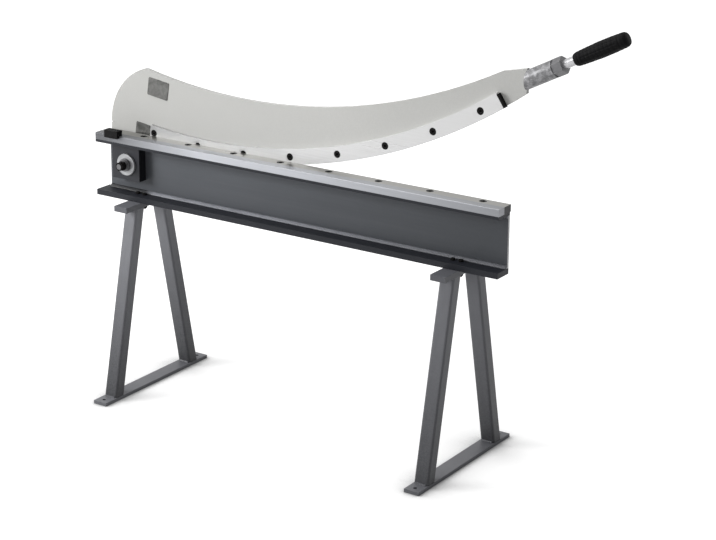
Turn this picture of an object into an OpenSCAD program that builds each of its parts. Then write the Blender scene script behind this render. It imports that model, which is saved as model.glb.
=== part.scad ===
// Hand lever shear on a bolted stand. X runs along the beam towards the handle,
// Y runs away from the operator with 0 at the cutting plane, Z is up from the floor.

/* [Beam] */
// Length of the beam and of the table on it
beam_l = 1350; // [1000:10:1600]
// Height of the beam over both flanges
beam_h = 168; // [165:1:200]
// Depth of the beam, from the back of its web to the flange edges
beam_d = 57.5; // [56:0.5:80]
// Thickness of the web plate
web_t = 8; // [6:0.5:10]
// Thickness of the bottom flange
low_flange_t = 16; // [10:1:20]
// Thickness of the top flange
top_flange_t = 8; // [7:0.5:12]
// Leg of the welds between web and flanges
weld_leg = 9; // [5:0.5:12]
// Gap between the back of the web and the cutting plane
web_gap = 4; // [2:0.5:8]
// How far the web is cut back from the left end
web_cut_back = 15; // [5:1:25]

/* [Table] */
// Thickness of the table rail and of the lower blade
table_t = 20; // [16:1:25]
// Width of the lower blade
lower_blade_w = 34; // [28:1:40]
// Number of screws in each blade
blade_screw_n = 8; // [4:1:10]
// Distance of the first lower blade screw from the table's left end
lower_first_in = 146; // [20:1:160]
// Distance of the last lower blade screw from the table's right end
lower_last_in = 73; // [40:1:120]
// Number of screws under the table rail
rail_screw_n = 6; // [3:1:9]
// Radius of the round edges on the table's front corner
table_edge_r = 1.5; // [0.5:0.5:3]

/* [Stand] */
// Height of the beam's underside above the floor
stand_h = 572; // [480:1:700]
// Distance of each side frame from the end of the beam
frame_in = 141; // [100:1:220]
// Thickness of the top bars
top_bar_t = 16; // [10:1:20]
// Width of the top bars along the beam
top_bar_w = 46; // [46:1:70]
// Length of the top bars across the beam
top_bar_l = 250; // [220:1:300]
// Thickness of the foot bars
foot_t = 10; // [8:1:16]
// Width of the foot bars
foot_w = 46; // [46:1:70]
// How far the foot bars reach past the legs at each end
foot_past = 46; // [35:1:80]
// Width of the leg tubes along the beam
leg_w = 44; // [30:1:45]
// Depth of the leg tubes across the beam
leg_d = 37; // [24:1:40]
// Wall of the leg tubes
leg_wall = 3; // [2:0.5:4]
// Radius of the leg tubes' outer corners
leg_corner_r = 6; // [5:0.5:8]
// Spread of the legs' outer faces under the top bar
leg_top_spread = 158; // [150:1:200]
// Spread of the legs' outer faces on the foot bar
leg_foot_spread = 386; // [320:1:390]
// Distance of the floor holes from the ends of the foot bars
floor_hole_in = 20; // [15:1:25]
// Diameter of the floor holes
floor_hole_d = 11; // [9:0.5:18]

/* [Arm] */
// Thickness of the arm plate
arm_t = 12; // [8:1:16]
// Left edge of the arm, measured from the pivot
arm_tail = 97; // [95:1:130]
// Depth of the arm's heel below the pivot
heel_r = 94; // [80:1:96]
// How far the arm reaches past the table's right end
arm_past = 30; // [20:1:60]
// Depth of the arm where its straight tip starts
arm_tip_h = 98.9; // [80:0.1:110]
// Height of the hollow top edge's lowest point above the pivot
top_edge_up = 238; // [200:1:250]
// Distance of that lowest point from the pivot, along the beam
top_edge_x = 415; // [380:1:450]
// Radius of the big corner at the arm's left end
tail_corner_r = 186; // [150:1:220]
// Distance of the peak above that corner from the arm's left edge
tail_peak_in = 132; // [120:1:150]
// Radius of the peak
tail_peak_r = 30; // [10:1:60]
// Radius of the small corner below it
heel_corner_r = 20; // [10:1:40]
// How far the arm's lower edge stays back from the cutting edge
arm_edge_back = 3; // [2:1:12]

/* [Upper blade] */
// Thickness of the upper blade
upper_blade_t = 10; // [8:1:14]
// Width of the upper blade
upper_blade_w = 44; // [36:1:56]
// Radius of its cutting edge
cut_r = 1702; // [1600:1:1850]
// Height of the cutting edge's lowest point above the pivot
cut_up = 58; // [40:1:80]
// Distance of that lowest point from the pivot, along the beam
cut_x = 290; // [260:1:320]
// Distance of the blade's left end from the pivot, along the beam
blade_start = 53; // [45:1:80]
// Distance of the blade's right end from the pivot, along the beam
blade_end = 1222; // [1150:1:1240]
// Clearance between the two blades
blade_clear = 0.3; // [0.3:0.05:0.6]
// Distance of the first screw from the blade's left end
blade_first_in = 14; // [14:0.5:60]
// Distance of the last screw from the blade's right end
blade_last_in = 67; // [14:0.5:80]

/* [Pivot] */
// Distance from the beam's left end to the pivot
pivot_in = 99; // [90:1:120]
// Depth of the pivot below the top flange
pivot_down = 58; // [54:1:62]
// Diameter of the pivot pin
pin_d = 30; // [24:1:32]
// Diameter of the pin's threaded end
thread_d = 16; // [14:1:20]
// Width of the bearing block
block_w = 100; // [96:1:116]
// How far the block's middle lies left of the pivot
block_off = 4; // [0:1:5]
// Height of the bearing block
block_h = 105; // [102:1:115]
// Depth of the bearing block
block_d = 29; // [28:1:40]

/* [Handle] */
// Slope of the handle in the drawn position
handle_a = 27.2; // [10:0.1:35]
// Diameter of the handle socket
socket_d = 48; // [40:1:50]
// Length of the handle socket
socket_l = 87; // [70:1:160]
// Diameter of the handle rod
rod_d = 25; // [20:1:28]
// Bare length of the rod between the collar nut and the grip
rod_bare = 35; // [10:1:80]
// Length of the grip
grip_l = 155; // [120:1:200]
// Largest diameter of the grip
grip_d = 44; // [38:1:46]

/* [Hidden] */

// Overrun of every cut past the face that it opens
over = 2;
// Radial clearance of fixed screws, rivets and rods in their holes
fix_c = 0.05;
// Radial clearance of the pin in its bushes
run_c = 0.05;
// Axial gap between faces that turn on each other
turn_gap = 0.3;
// Segments of small round shapes and of the long arcs
fine = 64;
long_fine = 720;
// Size of the half planes that trim outlines
reach = 3000;

// Beam
web_back = -web_gap;
web_front = web_back - web_t;
beam_front = web_back - beam_d;
beam_left = -beam_l / 2;
beam_right = beam_l / 2;
beam_top = stand_h + beam_h;
flange_z = beam_top - top_flange_t;
table_z = beam_top + table_t;

// Pivot
pivot_x = beam_left + pivot_in;
pivot_z = flange_z - pivot_down;

// Stand
frame_x = beam_right - frame_in;
foot_l = leg_foot_spread + 2 * foot_past;
floor_hole_pitch = foot_l - 2 * floor_hole_in;

// Arm and upper blade: centres of their arcs in the drawn position
cut_cx = pivot_x + cut_x;
cut_cz = pivot_z + cut_up + cut_r;
arm_front = blade_clear + upper_blade_t;
arm_back = arm_front + arm_t;
arm_mid = arm_front + arm_t / 2;
arm_left = pivot_x - arm_tail;
arm_right = beam_right + arm_past;
blade_mid_r = cut_r - upper_blade_w / 2;
arm_low_r = cut_r - arm_edge_back;

// Straight tip of the arm: where it starts, and the hollow top edge that meets it there
tip_rise = 16;
tip_run = 72;
tip_x = arm_right - tip_run;
tip_start_z = cut_cz - sqrt(pow(arm_low_r, 2) - pow(tip_x - cut_cx, 2)) + arm_tip_h;
top_cx = pivot_x + top_edge_x;
top_edge_rise = tip_start_z - pivot_z - top_edge_up;
top_edge_r = (pow(tip_x - top_cx, 2) + pow(top_edge_rise, 2)) / (2 * top_edge_rise);
top_cz = pivot_z + top_edge_up + top_edge_r;

// Countersunk screws of both blades
cs_head_r = 10.5;
cs_head_h = 5.5;
cs_recess = 0.5;
cs_shank_r = 5;
cs_drive_r = 4.6;
cs_drive_depth = 4;
// Depth of the tapped holes' unused tip
tap_tip = 1;
blade_nut_af = 17;
blade_nut_h = 8;
blade_washer_r = 10.5;
blade_washer_h = 2.5;
screw_end_out = 2.5;

// Centre of the arcs in the closed position, in which the cutting edge has come down past
// the table's right end: solved in the triangle of pivot, that point and centre
cut_overlap = 3;
end_dx = beam_right - pivot_x;
end_dz = table_z - cut_overlap - pivot_z;
end_l = sqrt(pow(end_dx, 2) + pow(end_dz, 2));
centre_l = sqrt(pow(cut_x, 2) + pow(cut_up + cut_r, 2));
end_a = acos((pow(centre_l, 2) + pow(end_l, 2) - pow(cut_r, 2)) / (2 * centre_l * end_l));
centre_a = atan2(end_dz, end_dx) + end_a;
close_cx = pivot_x + centre_l * cos(centre_a);
close_cz = pivot_z + centre_l * sin(centre_a);

// Rest block behind the web, on which the closed arm's lower edge comes down
rest_in = 35;
rest_w = 40;
rest_h = 40;
rest_gap = 0.3;
rest_clear = 3;
rest_lip_gap = 0.6;
rest_past = 1;
rest_screw_r = 4;
rest_screw_head_r = 6.5;
rest_screw_head_h = 5;
rest_screw_bite = 6;
rest_screw_pitch = 22;

// Bar at the blade's right end
bar_w = 7;
bar_l = 40;
bar_out = 1.5;
bar_screw_r = 2;
bar_screw_head_r = 3.5;
bar_screw_head_h = 4;
bar_screw_depth = 8;
bar_screw_pitch = 20;
bar_screw_in = 10;

// Ends of the upper blade and places of its screws, as angles on its arc
blade_start_a = asin((blade_start - cut_x) / cut_r);
blade_end_a = asin((blade_end - cut_x) / cut_r);
blade_first_a = blade_start_a + asin(blade_first_in / blade_mid_r);
blade_last_a = blade_end_a - asin(blade_last_in / blade_mid_r);
blade_pitch_a = (blade_last_a - blade_first_a) / (blade_screw_n - 1);
bar_mid_a = blade_end_a + asin(bar_w / 2 / (cut_r - upper_blade_w));

// Cap screws under the table rail
rail_screw_in = 18;
rail_screw_y = beam_front + rail_screw_in;
rail_screw_r = 4;
rail_head_r = 6.5;
rail_head_h = 4;
rail_screw_depth = 13;
rail_screw_inset = 30;
hex_key_share = 0.55;

// Bearing block, bushes and pin
block_front = web_front - block_d;
block_x = pivot_x - block_off;
block_screw_dx = 38;
block_screw_dz = 36;
block_screw_r = 5;
block_head_r = 8;
block_head_h = 5;
block_screw_depth = 22;
bush_wall = 4;
bush_gap = 4;
bush_l = (web_t + block_d - bush_gap) / 2;
bush_flange_r = 28;
bush_flange_t = 3;
ring_r = 32;
ring_t = 3;
pin_flange_r = 36;
pin_flange_t = 8;
pin_screw_r = 3;
pin_screw_ring_r = 27;
pin_screw_n = 4;
pin_screw_head_r = 5;
pin_screw_head_h = 4;
spring_r = 19;
spring_t = 1.5;
spring_rise = 1.2;
spring_n = 3;
washer_r = 17;
washer_t = 3;
pivot_nut_af = 24;
pivot_nut_h = 11;
lock_nut_h = 7;
pin_end_out = 1.5;
nut_chamfer = 1.5;

// Side stop on the table's left front edge
side_stop_in = 42;
side_stop_w = 48;
side_stop_h = 16;
side_stop_on = 13.5;
side_lip_t = 10.5;
side_lip_h = 6;
side_screw_r = 3;
side_screw_head_r = 5;
side_screw_head_h = 6;
side_screw_depth = 10;
side_screw_pitch = 28;

// Stand
leg_h = stand_h - top_bar_t - foot_t;
leg_lean = (leg_foot_spread - leg_top_spread) / 2;
leg_lean_a = atan(leg_lean / leg_h);
leg_run = leg_d / cos(leg_lean_a);
stand_weld = 4;
beam_bolt_dx = 12.5;
beam_bolt_r = 4;
beam_bolt_af = 13;
beam_bolt_head_h = 5.3;
beam_nut_h = 6.5;
beam_bolt_out = 3;

// Blank label plates on the arm
label_tilt = -8;
label_t = 1.2;
upper_label_dx = 81;
upper_label_dz = 226;
upper_label_w = 74;
upper_label_h = 53;
lower_label_dx = 21;
lower_label_dz = 91;
lower_label_w = 52;
lower_label_h = 50;
label_corner_r = 4;
rivet_inset = 5;
rivet_r = 1.6;
rivet_head_r = 2.8;
rivet_head_h = 0.9;
rivet_depth = 5;

// Handle
socket_bore_end = 14;
collar_af = 42;
collar_h = 29;
rod_in_gap = 1;
handle_up = 3;
rod_tip_share = 0.93;

// Hexagonal prism across flats af, from z = 0 to h, with turned corners
module hex(af, h) {
    intersection() {
        cylinder(d = af / cos(30), h = h, $fn = 6);
        cylinder(r1 = af / cos(30) / 2 - nut_chamfer + h, r2 = af / cos(30) / 2 - nut_chamfer, h = h,
            $fn = fine);
    }
}

// Countersunk screw with its head's top at z = 0, pointing down
module countersunk(l) {
    difference() {
        union() {
            translate([0, 0, -cs_recess - cs_head_h])
                cylinder(r1 = cs_shank_r, r2 = cs_head_r, h = cs_head_h, $fn = fine);
            translate([0, 0, -l]) cylinder(r = cs_shank_r, h = l - cs_recess - cs_head_h, $fn = fine);
        }
        translate([0, 0, -cs_recess - cs_drive_depth])
            cylinder(r = cs_drive_r, h = cs_drive_depth + over, $fn = 6);
    }
}

// Hole for that screw, opening at z = 0
module countersunk_hole(l) {
    slope = (cs_head_r - cs_shank_r) / cs_head_h;
    translate([0, 0, -cs_recess - cs_head_h])
        cylinder(r1 = cs_shank_r + fix_c, r2 = cs_head_r + fix_c, h = cs_head_h, $fn = fine);
    translate([0, 0, -cs_recess]) cylinder(r = cs_head_r + fix_c, h = cs_recess + over, $fn = fine);
    translate([0, 0, -l]) cylinder(r = cs_shank_r + fix_c, h = l - cs_recess, $fn = fine);
}

// Socket head screw with the head's seat at z = 0 and the shank pointing down
module cap_screw(r, head_r, head_h, l) {
    difference() {
        union() {
            cylinder(r = head_r, h = head_h, $fn = fine);
            translate([0, 0, -l]) cylinder(r = r, h = l + head_h / 2, $fn = fine);
        }
        translate([0, 0, head_h / 2])
            cylinder(r = head_r * hex_key_share, h = head_h, $fn = 6);
    }
}

// Hex bolt with the head's seat at z = 0 and the shank pointing down
module hex_bolt(r, af, head_h, l) {
    hex(af, head_h);
    translate([0, 0, -l]) cylinder(r = r, h = l + head_h / 2, $fn = fine);
}

// Nut from z = 0 to h
module hex_nut(r, af, h) {
    difference() {
        hex(af, h);
        translate([0, 0, -over]) cylinder(r = r + fix_c, h = h + 2 * over, $fn = fine);
    }
}

// Outline in X and Z, made into a plate from y0 to y0 + t
module plate_xz(y0, t) {
    translate([0, y0 + t, 0]) rotate([90, 0, 0]) linear_extrude(t) children();
}

// Outline in Y and Z, extruded along X from x0 over l
module bar_yz(x0, l) {
    translate([x0, 0, 0]) rotate([90, 0, 90]) linear_extrude(l) children();
}

// Point on the blade's arc, in X and Z, at radius r and angle a
function on_arc(r, a) = [cut_cx + r * sin(a), cut_cz - r * cos(a)];

module at_lower_screws() {
    step = (beam_l - lower_first_in - lower_last_in) / (blade_screw_n - 1);
    for (i = [0 : blade_screw_n - 1])
        translate([beam_left + lower_first_in + i * step, -lower_blade_w / 2, table_z]) children();
}

module at_upper_screws(y) {
    for (i = [0 : blade_screw_n - 1]) {
        p = on_arc(blade_mid_r, blade_first_a + i * blade_pitch_a);
        translate([p[0], y, p[1]]) rotate([90, 0, 0]) children();
    }
}

module at_rail_screws() {
    step = (beam_l - 2 * rail_screw_inset) / (rail_screw_n - 1);
    for (i = [0 : rail_screw_n - 1])
        translate([beam_left + rail_screw_inset + i * step, rail_screw_y, beam_top]) children();
}

module at_pivot(y) {
    translate([pivot_x, y, pivot_z]) rotate([90, 0, 0]) children();
}

module at_block_screws() {
    for (sx = [-1, 1], sz = [-1, 1])
        translate([block_x + sx * block_screw_dx, web_back, pivot_z + sz * block_screw_dz])
            rotate([-90, 0, 0]) children();
}

// Bolts midway between the beam's weld and the weld inside the front leg's top
module at_beam_bolts() {
    y = (web_front - weld_leg - leg_top_spread / 2 + leg_run + stand_weld) / 2;
    for (s = [-1, 1], d = [-1, 1])
        translate([s * frame_x + d * beam_bolt_dx, y, stand_h]) children();
}

module at_rest_screws() {
    for (d = [-1, 1])
        translate([rest_left + rest_w / 2 + d * rest_screw_pitch / 2, rest_back, rest_low + rest_h / 2])
            rotate([-90, 0, 0]) children();
}

// Beam
module web_plate() {
    low = stand_h + low_flange_t;
    color([0.35, 0.36, 0.39]) difference() {
        translate([beam_left + web_cut_back, web_front, low])
            cube([beam_l - web_cut_back, web_t, beam_h - low_flange_t - top_flange_t]);
        at_block_screws() translate([0, 0, -web_t - over])
            cylinder(r = block_screw_r + fix_c, h = web_t + 2 * over, $fn = fine);
        at_rest_screws() translate([0, 0, -rest_screw_l - tap_tip])
            cylinder(r = rest_screw_r + fix_c, h = rest_screw_bite + tap_tip + over, $fn = fine);
        at_pivot(web_back + over)
            cylinder(r = pin_d / 2 + bush_wall + fix_c, h = web_t + 2 * over, $fn = fine);
    }
}

module top_flange() {
    color([0.25, 0.26, 0.28]) difference() {
        translate([beam_left, beam_front, flange_z]) cube([beam_l, beam_d, top_flange_t]);
        at_lower_screws() translate([0, 0, -lower_screw_l - tap_tip])
            cylinder(r = cs_shank_r + fix_c, h = lower_screw_l - table_t + tap_tip + over, $fn = fine);
        at_rail_screws() translate([0, 0, -top_flange_t - over])
            cylinder(r = rail_screw_r + fix_c, h = top_flange_t + 2 * over, $fn = fine);
    }
}

module bottom_flange() {
    color([0.2, 0.21, 0.23]) difference() {
        translate([beam_left, beam_front, stand_h]) cube([beam_l, beam_d, low_flange_t]);
        at_beam_bolts() translate([0, 0, -over])
            cylinder(r = beam_bolt_r + fix_c, h = low_flange_t + 2 * over, $fn = fine);
    }
}

// Welds in both inner corners, the upper one right of the bearing block
module beam_welds() {
    low = stand_h + low_flange_t;
    block_right = block_x + block_w / 2;
    web_left = beam_left + web_cut_back;
    color([0.5, 0.51, 0.54]) {
        bar_yz(web_left, beam_right - web_left)
            polygon([[web_front - weld_leg, low], [web_front, low], [web_front, low + weld_leg]]);
        bar_yz(block_right, beam_right - block_right)
            polygon([[web_front, flange_z], [web_front - weld_leg, flange_z],
                [web_front, flange_z - weld_leg]]);
    }
}

// Length of the lower blade's screws, ending inside the top flange
lower_screw_l = table_t + top_flange_t - 2 * tap_tip;

module table_rail() {
    rail_w = beam_d + web_gap - lower_blade_w;
    color([0.84, 0.84, 0.87]) difference() {
        bar_yz(beam_left, beam_l) difference() {
            translate([beam_front, beam_top]) square([rail_w, table_t]);
            translate([beam_front, table_z]) rotate(45)
                square(table_edge_r * sqrt(2), center = true);
        }
        at_rail_screws() translate([0, 0, -over])
            cylinder(r = rail_screw_r + fix_c, h = rail_screw_depth + tap_tip + over, $fn = fine);
        at_side_screws() translate([0, 0, -side_screw_depth - tap_tip])
            cylinder(r = side_screw_r + fix_c, h = side_screw_depth + tap_tip + over, $fn = fine);
    }
}

module rail_screws() {
    color([0.12, 0.12, 0.13]) at_rail_screws() translate([0, 0, -top_flange_t]) mirror([0, 0, 1])
        cap_screw(rail_screw_r, rail_head_r, rail_head_h, top_flange_t + rail_screw_depth);
}

module lower_blade() {
    color([0.72, 0.72, 0.73]) difference() {
        translate([beam_left, -lower_blade_w, beam_top]) cube([beam_l, lower_blade_w, table_t]);
        at_lower_screws() countersunk_hole(table_t + over);
    }
}

module lower_blade_screws() {
    color([0.1, 0.1, 0.11]) at_lower_screws() countersunk(lower_screw_l);
}

// Bearing block at the left end, under the top flange
module bearing_block() {
    color([0.25, 0.25, 0.27]) difference() {
        translate([block_x - block_w / 2, block_front, flange_z - block_h])
            cube([block_w, block_d, block_h]);
        at_pivot(web_front + over)
            cylinder(r = pin_d / 2 + bush_wall + fix_c, h = block_d + 2 * over, $fn = fine);
        at_block_screws() translate([0, 0, -web_t - block_screw_depth - tap_tip])
            cylinder(r = block_screw_r + fix_c, h = block_screw_depth + tap_tip + over, $fn = fine);
    }
}

module block_screws() {
    color([0.12, 0.12, 0.13]) at_block_screws()
        cap_screw(block_screw_r, block_head_r, block_head_h, web_t + block_screw_depth);
}

// Flanged bush with the flange's outer face at z = 0 and the sleeve pointing down
module flanged_bush() {
    difference() {
        union() {
            translate([0, 0, -bush_flange_t]) cylinder(r = bush_flange_r, h = bush_flange_t, $fn = fine);
            translate([0, 0, -bush_flange_t - bush_l])
                cylinder(r = pin_d / 2 + bush_wall, h = bush_l + over / 2, $fn = fine);
        }
        translate([0, 0, -bush_flange_t - bush_l - over])
            cylinder(r = pin_d / 2 + run_c, h = bush_l + bush_flange_t + 2 * over, $fn = fine);
    }
}

module front_bush() {
    color([0.75, 0.6, 0.3]) at_pivot(block_front - bush_flange_t) flanged_bush();
}

module rear_bush() {
    color([0.75, 0.6, 0.3]) at_pivot(web_back + bush_flange_t) mirror([0, 0, 1]) flanged_bush();
}

// Bright ring against which the springs push
module thrust_ring() {
    color([0.88, 0.88, 0.9]) at_pivot(block_front) difference() {
        cylinder(r = ring_r, h = bush_flange_t + ring_t, $fn = fine);
        translate([0, 0, -over])
            cylinder(r = bush_flange_r + fix_c, h = bush_flange_t + over, $fn = fine);
        translate([0, 0, -over])
            cylinder(r = pin_d / 2 + turn_gap, h = bush_flange_t + ring_t + 2 * over, $fn = fine);
    }
}

// Side stop on the rail's left end, with a lip over the front edge
side_left = beam_left + side_stop_in;
module at_side_screws() {
    for (d = [-1, 1])
        translate([side_left + side_stop_w / 2 + d * side_screw_pitch / 2,
            beam_front + side_stop_on / 2, table_z]) children();
}

module side_stop() {
    color([0.1, 0.1, 0.11]) difference() {
        bar_yz(side_left, side_stop_w) translate([beam_front, table_z]) polygon([
            [-side_lip_t, -side_lip_h], [0, -side_lip_h], [0, 0], [side_stop_on, 0],
            [side_stop_on, side_stop_h], [-side_lip_t, side_stop_h]]);
        at_side_screws() translate([0, 0, -over])
            cylinder(r = side_screw_r + fix_c, h = side_stop_h + 2 * over, $fn = fine);
        at_side_screws() translate([0, 0, side_stop_h - side_screw_head_h])
            cylinder(r = side_screw_head_r + fix_c, h = side_screw_head_h + over, $fn = fine);
    }
}

module side_stop_screws() {
    seat = side_stop_h - side_screw_head_h;
    color([0.2, 0.2, 0.21]) at_side_screws() translate([0, 0, seat])
        cap_screw(side_screw_r, side_screw_head_r, side_screw_head_h, seat + side_screw_depth);
}

// Height of an arc of radius r at x, in the closed position
function closed_z(r, x) = close_cz - sqrt(pow(r, 2) - pow(x - close_cx, 2));

// Rest block on the back of the web: its lip stands behind the upper blade's path and is
// hollowed to the closed arm's lower edge
rest_left = beam_right - rest_in - rest_w;
rest_step = closed_z(cut_r, rest_left) - rest_clear;
rest_low = rest_step - rest_h;
rest_lip = arm_front + rest_lip_gap;
rest_back = arm_back + rest_past;
rest_screw_l = rest_back - web_back + rest_screw_bite;

module rest_block() {
    color([0.12, 0.12, 0.13]) difference() {
        bar_yz(rest_left, rest_w) polygon([[web_back, rest_low], [rest_back, rest_low],
            [rest_back, table_z], [rest_lip, table_z], [rest_lip, rest_step], [web_back, rest_step]]);
        plate_xz(rest_lip - over, rest_back - rest_lip + 2 * over)
            translate([close_cx, close_cz]) circle(r = arm_low_r + rest_gap, $fn = long_fine);
        at_rest_screws() translate([0, 0, -rest_screw_l])
            cylinder(r = rest_screw_r + fix_c, h = rest_screw_l + over, $fn = fine);
    }
}

module rest_block_screws() {
    color([0.12, 0.12, 0.13]) at_rest_screws()
        cap_screw(rest_screw_r, rest_screw_head_r, rest_screw_head_h, rest_screw_l);
}

// Stand
leg_top_z = stand_h - top_bar_t;

// Rectangle with round corners of radius r
module round_rect(w, d, r) {
    square([w - 2 * r, d], center = true);
    square([w, d - 2 * r], center = true);
    for (sx = [-1, 1], sy = [-1, 1])
        translate([sx * (w / 2 - r), sy * (d / 2 - r)]) circle(r = r, $fn = fine);
}

// Leaning tube, cut level at the foot bar and at the top bar
module leg(side, rear) {
    foot_y = -leg_foot_spread / 2 + leg_run / 2;
    color([0.41, 0.42, 0.44]) mirror([0, rear, 0]) intersection() {
        translate([side * frame_x - leg_w, -leg_foot_spread, foot_t])
            cube([2 * leg_w, leg_foot_spread, leg_h]);
        translate([side * frame_x, foot_y, foot_t]) rotate([-leg_lean_a, 0, 0]) translate([0, 0, -leg_d])
            linear_extrude(leg_h / cos(leg_lean_a) + 2 * leg_d) difference() {
                round_rect(leg_w, leg_d, leg_corner_r);
                round_rect(leg_w - 2 * leg_wall, leg_d - 2 * leg_wall, leg_corner_r - leg_wall);
            }
    }
}

module top_bar(side) {
    color([0.38, 0.39, 0.41]) difference() {
        translate([side * frame_x - top_bar_w / 2, -top_bar_l / 2, leg_top_z])
            cube([top_bar_w, top_bar_l, top_bar_t]);
        at_beam_bolts() translate([0, 0, -top_bar_t - over])
            cylinder(r = beam_bolt_r + fix_c, h = top_bar_t + 2 * over, $fn = fine);
    }
}

module foot_bar(side) {
    color([0.41, 0.42, 0.44]) difference() {
        translate([side * frame_x - foot_w / 2, -foot_l / 2, 0]) cube([foot_w, foot_l, foot_t]);
        for (d = [-1, 1]) translate([side * frame_x, d * floor_hole_pitch / 2, -over])
            cylinder(d = floor_hole_d, h = foot_t + 2 * over, $fn = fine);
    }
}

// Welds across the flat outer and inner faces of both legs, at their tops and feet
module stand_welds(side) {
    w = stand_weld;
    shift = leg_lean / leg_h;
    flat_w = leg_w - 2 * leg_corner_r;
    color([0.45, 0.46, 0.48]) for (m = [0, 1]) mirror([0, m, 0])
        bar_yz(side * frame_x - flat_w / 2, flat_w) for (end = [0, 1], face = [0, 1]) {
            dir = end == 0 ? 1 : -1;
            out = face == 0 ? -1 : 1;
            y = -(end == 0 ? leg_foot_spread : leg_top_spread) / 2 + face * leg_run;
            z = end == 0 ? foot_t : leg_top_z;
            polygon([[y, z], [y + dir * shift * w, z + dir * w], [y + out * w, z]]);
        }
}

module left_top_bar() { top_bar(-1); }
module left_front_leg() { leg(-1, 0); }
module left_rear_leg() { leg(-1, 1); }
module left_foot_bar() { foot_bar(-1); }
module left_stand_welds() { stand_welds(-1); }
module right_top_bar() { top_bar(1); }
module right_front_leg() { leg(1, 0); }
module right_rear_leg() { leg(1, 1); }
module right_foot_bar() { foot_bar(1); }
module right_stand_welds() { stand_welds(1); }

// Bolts that hold the beam's bottom flange to the top bars
module beam_bolts() {
    grip = low_flange_t + top_bar_t;
    color([0.2, 0.2, 0.21]) at_beam_bolts() translate([0, 0, low_flange_t])
        hex_bolt(beam_bolt_r, beam_bolt_af, beam_bolt_head_h, grip + beam_nut_h + beam_bolt_out);
}

module beam_bolt_nuts() {
    color([0.2, 0.2, 0.21]) at_beam_bolts() translate([0, 0, -top_bar_t]) mirror([0, 0, 1])
        hex_nut(beam_bolt_r, beam_bolt_af, beam_nut_h);
}

// Arm
tail_cx = arm_left + tail_corner_r;
peak_x = arm_left + tail_peak_in;
peak_z = top_cz - sqrt(pow(top_edge_r, 2) - pow(peak_x - top_cx, 2));
tail_cz = peak_z - sqrt(pow(tail_corner_r, 2) - pow(peak_x - tail_cx, 2));

// Centre of the peak's round, inside the big corner's circle and outside the top edge's
tail_to_top = sqrt(pow(top_cx - tail_cx, 2) + pow(top_cz - tail_cz, 2));
tail_to_round = tail_corner_r - tail_peak_r;
round_a = atan2(top_cz - tail_cz, top_cx - tail_cx)
    + acos((pow(tail_to_round, 2) + pow(tail_to_top, 2) - pow(top_edge_r + tail_peak_r, 2))
        / (2 * tail_to_round * tail_to_top));
round_c = [tail_cx, tail_cz] + tail_to_round * [cos(round_a), sin(round_a)];

// Band between the arm's lower arc and its hollow top edge
module arm_band() {
    difference() {
        intersection() {
            translate([cut_cx, cut_cz]) circle(r = arm_low_r, $fn = long_fine);
            translate([arm_left, pivot_z]) square([arm_right - arm_left, reach / 2]);
        }
        translate([top_cx, top_cz]) circle(r = top_edge_r, $fn = long_fine);
        tail_trim();
        tip_trim();
    }
}

// Everything outside the big round corner and outside the peak's round
module tail_trim() {
    high = tail_cz + 2 * tail_corner_r;
    left_dir = [cos(round_a), sin(round_a)];
    right_dir = ([top_cx, top_cz] - round_c) / (top_edge_r + tail_peak_r);
    difference() {
        polygon([[arm_left - over, tail_cz], [tail_cx, tail_cz], [tail_cx, high], [arm_left - over, high]]);
        translate([tail_cx, tail_cz]) circle(r = tail_corner_r, $fn = 4 * fine);
    }
    difference() {
        polygon([round_c, round_c + 2 * tail_peak_r * left_dir,
            round_c + 2 * tail_peak_r * right_dir]);
        translate(round_c) circle(r = tail_peak_r, $fn = fine);
    }
}

// Straight top of the arm's tip
module tip_trim() {
    high = tip_start_z + tip_run;
    polygon([[tip_x, tip_start_z], [arm_right + over, tip_start_z + tip_rise * (tip_run + over) / tip_run],
        [arm_right + over, high], [tip_x, high]]);
}

// Heel round the pivot, behind the beam
module heel() {
    low = pivot_z - heel_r;
    translate([pivot_x, pivot_z]) circle(r = heel_r, $fn = 4 * fine);
    difference() {
        translate([arm_left, low]) square([arm_tail, tail_cz - low]);
        difference() {
            translate([arm_left - over, low - over])
                square([heel_corner_r + over, heel_corner_r + over]);
            translate([arm_left + heel_corner_r, low + heel_corner_r])
                circle(r = heel_corner_r, $fn = fine);
        }
    }
    translate([pivot_x, pivot_z]) square([heel_r, cut_cz - arm_low_r + heel_r / 2 - pivot_z]);
}

module arm_plate() {
    color([0.79, 0.79, 0.78]) difference() {
        plate_xz(arm_front, arm_t) union() {
            arm_band();
            heel();
        }
        at_pivot(arm_back + over)
            cylinder(r = pin_d / 2 + fix_c, h = arm_t + 2 * over, $fn = fine);
        at_upper_screws(arm_back + over)
            cylinder(r = cs_shank_r + fix_c, h = arm_t + 2 * over, $fn = fine);
        at_pin_screws() translate([0, 0, -arm_t - over])
            cylinder(r = pin_screw_r + fix_c, h = arm_t + 2 * over, $fn = fine);
        at_bar_screws() translate([0, 0, -arm_t - over])
            cylinder(r = bar_screw_r + fix_c, h = arm_t + 2 * over, $fn = fine);
        at_rivets() translate([0, 0, -rivet_depth - tap_tip])
            cylinder(r = rivet_r + fix_c, h = rivet_depth + tap_tip + over, $fn = fine);
    }
}

// Curved blade, between two angles on its arc
module blade_outline() {
    intersection() {
        difference() {
            translate([cut_cx, cut_cz]) circle(r = cut_r, $fn = long_fine);
            translate([cut_cx, cut_cz]) circle(r = cut_r - upper_blade_w, $fn = long_fine);
        }
        polygon([[cut_cx, cut_cz], on_arc(reach, blade_start_a),
            on_arc(reach, (blade_start_a + blade_end_a) / 2), on_arc(reach, blade_end_a)]);
    }
}

module upper_blade() {
    color([0.88, 0.88, 0.87]) difference() {
        plate_xz(blade_clear, upper_blade_t) blade_outline();
        at_upper_screws(blade_clear) countersunk_hole(upper_blade_t + over);
    }
}

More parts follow.
